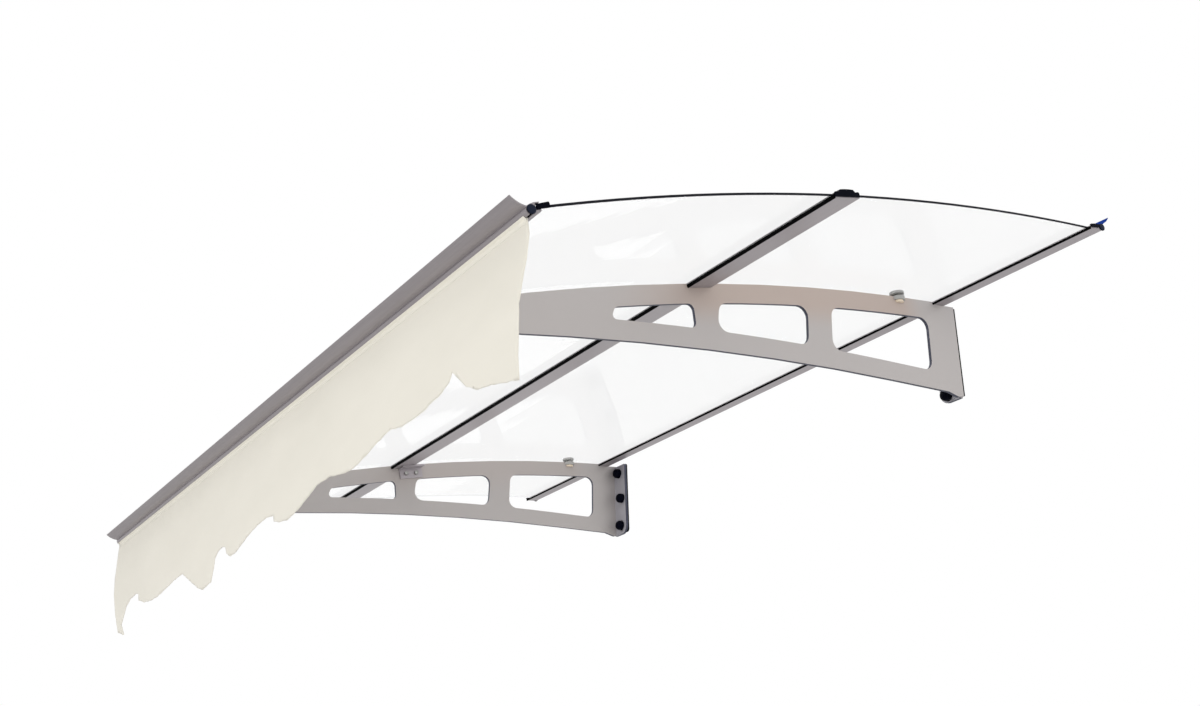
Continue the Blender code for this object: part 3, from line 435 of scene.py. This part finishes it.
def cloth_look():
    """A plain weave of warp and weft threads, with slubs and faint soft stains."""
    look = Look("cream cloth", CLOTH, 0.88, 0.0, Sheen_Weight=0.25, Sheen_Roughness=0.5)
    where = look.place()
    threads = []
    for axis in ("X", "Z"):
        wave = look.node("ShaderNodeTexWave", wave_type="BANDS", bands_direction=axis)
        wave.inputs["Scale"].default_value = 420
        wave.inputs["Distortion"].default_value = 1.2
        wave.inputs["Detail"].default_value = 1.0
        wave.inputs["Detail Scale"].default_value = 0.6
        look.link(where, wave.inputs["Vector"])
        threads.append(wave.outputs["Fac"])
    weave = look.maths("MULTIPLY", *threads)
    look.tint(look.noise(6, 3, (1, 1, 2.5)), (0.975, 0.975, 0.97), (1.02, 1.02, 1.02))
    look.bump(look.noise(70, 4), 0.0004, 0.35)
    look.bump(weave, 0.00012, 0.6)
    return look.material


def dress(look, *names):
    """The CAD nodes whose names start so get this look."""
    for name, node in NODES.items():
        if not name.startswith(names):
            continue
        node.data.materials.clear()
        node.data.materials.append(look)


def ease(obj, width):
    step = obj.modifiers.new("ease", "BEVEL")
    step.width = width
    step.segments = 2
    step.limit_method = "ANGLE"
    step.angle_limit = math.radians(40)
    step.use_clamp_overlap = True
    step.harden_normals = False


def thicken(obj, thickness):
    step = obj.modifiers.new("thickness", "SOLIDIFY")
    step.thickness = thickness
    step.offset = 0


def copy_node(name, looks, pick):
    """A piece in the CAD node's own shape, whose faces take one of several looks."""
    mesh = NODES[name].data.copy()
    mesh.name = f"{name}_dressed"
    mesh.materials.clear()
    for look in looks:
        mesh.materials.append(look)
    for face in mesh.polygons:
        face.material_index = pick(face)
    piece = bpy.data.objects.new(f"{name}_dressed", mesh)
    bpy.context.scene.collection.objects.link(piece)
    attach(piece, "root")
    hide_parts(name)
    return piece


def panel_face(face):
    """0 for the clear faces, 1 for the near end and 2 for the far end."""
    return round(face.normal.x) % 3


def make_panels(looks):
    ends = (looks["clear"], looks["panel edge"], looks["pale edge"])
    for name in ("front_panel", "rear_panel"):
        piece = copy_node(name, ends, panel_face)
        piece.data.shade_smooth()
        piece.data.set_sharp_from_angle(angle=math.radians(30))


def make_brackets(looks):
    """Satin sides, dark cut edges, and painted shade, darker and cooler, on the flange's front."""
    for side in ("near", "far"):
        name = f"bracket_{side}"
        low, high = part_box(name)
        flange_front = high[1] - FLANGE_DEPTH
        flange_tip = min(abs(low[0]), abs(high[0])) + FLANGE_TIP

        def pick(face):
            in_flange = face.center.y > flange_front
            if abs(face.normal.x) > 0.5:
                return 1 if in_flange and abs(face.center.x) < flange_tip else 0
            # The flange's front faces take the painted shade
            return 2 if in_flange and face.normal.y < -0.5 else 1

        piece = copy_node(name, (looks["bracket"], looks["cut edge"], looks["flange"]), pick)
        ease(piece, BRACKET_EASE)


def make_plugs(looks):
    """The bead's plugs and the channel's knobs: a black rim around a middle in a painted grey-blue
    highlight.
    """
    for name in ("rear_plug", "channel_knob"):
        for side, sign in (("near", 1), ("far", -1)):
            node = f"{name}_{side}"
            low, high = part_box(node)
            outer = high[0] if sign > 0 else low[0]

            def pick(face):
                # The outer end faces take the painted highlight
                outwards = face.normal.x * sign > 0.5
                return 1 if outwards and abs(face.center.x - outer) < PLUG_MIDDLE_DEPTH else 0

            piece = copy_node(node, (looks["black"], looks["plug middle"]), pick)


def make_gasket_lips(looks):
    """The gaskets along two bars' front edges, their soft lips standing proud below the bars."""
    for name, drop in LIP_DROPS:
        piece = copy_node(name, (looks["rubber"],), lambda face: 0)
        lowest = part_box(name)[0][2]
        for vert in piece.data.vertices:
            if vert.co.z < lowest + LIP_HEIGHT:
                vert.co.z -= drop


def cloth_sway(x, down):
    """How far the hanging cloth stands off its flat plane, in slack folds and a faint ripple."""
    slack = min(max(down - CLOTH_STRAIGHT, 0.0) / CLOTH_OPENING, 1.2)
    folds = math.sin(x * 15.0 + 0.8 * math.sin(x * 6.0)) * 0.6
    folds += math.sin(x * 34.0 + 1.3) * 0.22
    ripple = noise.noise(Vector((x * 22.0, down * 9.0, 4.0))) * 0.5
    return CLOTH_SWAY * slack * slack * (folds + ripple)


def make_facing(looks, start, end):
    """A tape of the same cloth, sewn along the valance's top and folded up over the channel."""
    low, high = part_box("channel_knob_near")
    centre = ((low[1] + high[1]) / 2, (low[2] + high[2]) / 2)
    radius = CHANNEL_RADIUS + FACING_OFF_CHANNEL
    section = list(FACING_RISE)
    first, last = FACING_ARC
    for step in range(9):
        angle = math.radians(first + (last - first) * step / 8)
        section.append((radius * math.cos(angle), radius * math.sin(angle)))
    shape = bmesh.new()
    columns = []
    for step in range(FACING_COLUMNS + 1):
        x = start + (end - start) * step / FACING_COLUMNS
        places = [(x, centre[0] + y, centre[1] + z) for y, z in section]
        columns.append([shape.verts.new(place) for place in places])
    for left, right in zip(columns, columns[1:]):
        for row in range(len(section) - 1):
            shape.faces.new((left[row], right[row], right[row + 1], left[row + 1]))
    bmesh.ops.recalc_face_normals(shape, faces=shape.faces)
    mesh = bpy.data.meshes.new("valance_facing")
    shape.to_mesh(mesh)
    shape.free()
    mesh.materials.append(looks["cloth"])
    mesh.shade_smooth()
    facing = bpy.data.objects.new("valance_facing", mesh)
    bpy.context.scene.collection.objects.link(facing)
    thicken(facing, FACING_THICKNESS)
    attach(facing, "root")
    return facing


def make_valance(looks):
    """One sheet of woven cloth in its solid's outline, in slack folds, its hem slightly frayed."""
    low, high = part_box("valance")
    middle = (low[1] + high[1]) / 2
    top = high[2]
    source = NODES["valance"].data
    shape = bmesh.new()
    made = {}
    for face in source.polygons:
        if face.normal.y > -0.9:
            continue
        corners = []
        for index in face.vertices:
            if index not in made:
                co = source.vertices[index].co
                made[index] = shape.verts.new((co.x, middle, co.z))
            corners.append(made[index])
        shape.faces.new(corners)
    for axis, start, end in ((0, low[0], high[0]), (2, low[2], high[2])):
        count = int((end - start) / CLOTH_STEP)
        for cut in range(1, count + 1):
            at = Vector((0, 0, 0))
            at[axis] = start + (end - start) * cut / (count + 1)
            normal = Vector((0, 0, 0))
            normal[axis] = 1
            parts = shape.verts[:] + shape.edges[:] + shape.faces[:]
            bmesh.ops.bisect_plane(shape, geom=parts, plane_co=at, plane_no=normal, dist=0.00001)
    bmesh.ops.remove_doubles(shape, verts=shape.verts, dist=0.0004)
    for vert in shape.verts:
        down = top - vert.co.z
        if vert.is_boundary and down > 0.02:
            coarse = noise.noise(vert.co * 90.0) * FRAY_COARSE
            vert.co.z += coarse + noise.noise(vert.co * 340.0) * FRAY_FINE
            vert.co.x += noise.noise(vert.co * 120.0 + Vector((3, 0, 0))) * FRAY_SIDEWAYS
        vert.co.y += cloth_sway(vert.co.x, down)
    bmesh.ops.recalc_face_normals(shape, faces=shape.faces)
    area = sum(face.calc_area() for face in shape.faces)
    mesh = bpy.data.meshes.new("valance_cloth")
    shape.to_mesh(mesh)
    shape.free()
    mesh.materials.append(looks["cloth"])
    mesh.shade_smooth()
    cloth = bpy.data.objects.new("valance_cloth", mesh)
    bpy.context.scene.collection.objects.link(cloth)
    thicken(cloth, CLOTH_THICKNESS)
    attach(cloth, "root")
    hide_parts("valance")
    tops = [vert.co.x for vert in mesh.vertices if vert.co.z > top - 0.001]
    facing = make_facing(looks, min(tops), max(tops))


make_camera()
make_studio()
make_floor()
looks = make_looks()
dress(looks["bar"], "mid_bar", "rear_bar")
dress(looks["front bar with painted shade"], "front_bar")
dress(looks["bar"], "mid_cleat_near", "mid_cleat_far", "front_cleat_near", "front_cleat_far")
dress(looks["zinc"], "wall_bolt", "hold_screw", "mid_cleat_near_screw", "mid_cleat_far_screw")
dress(looks["zinc"], "front_cleat_near_screw", "front_cleat_far_screw")
dress(looks["rubber"], "front_gasket", "mid_gasket", "rear_gasket", "wall_gasket")
dress(looks["black"], "mid_cap", "rear_cap", "front_cap", "bolt_cap", "valance_rod")
dress(looks["blue"], "wall_lip")
dress(looks["knob"], "hold_knob", "hold_washer", "hold_collar")
dress(looks["nylon"], "hold_pad")
make_panels(looks)
make_brackets(looks)
make_plugs(looks)
make_gasket_lips(looks)
make_valance(looks)
bpy.context.scene.view_settings.view_transform = "Standard"
bpy.context.view_layer.update()
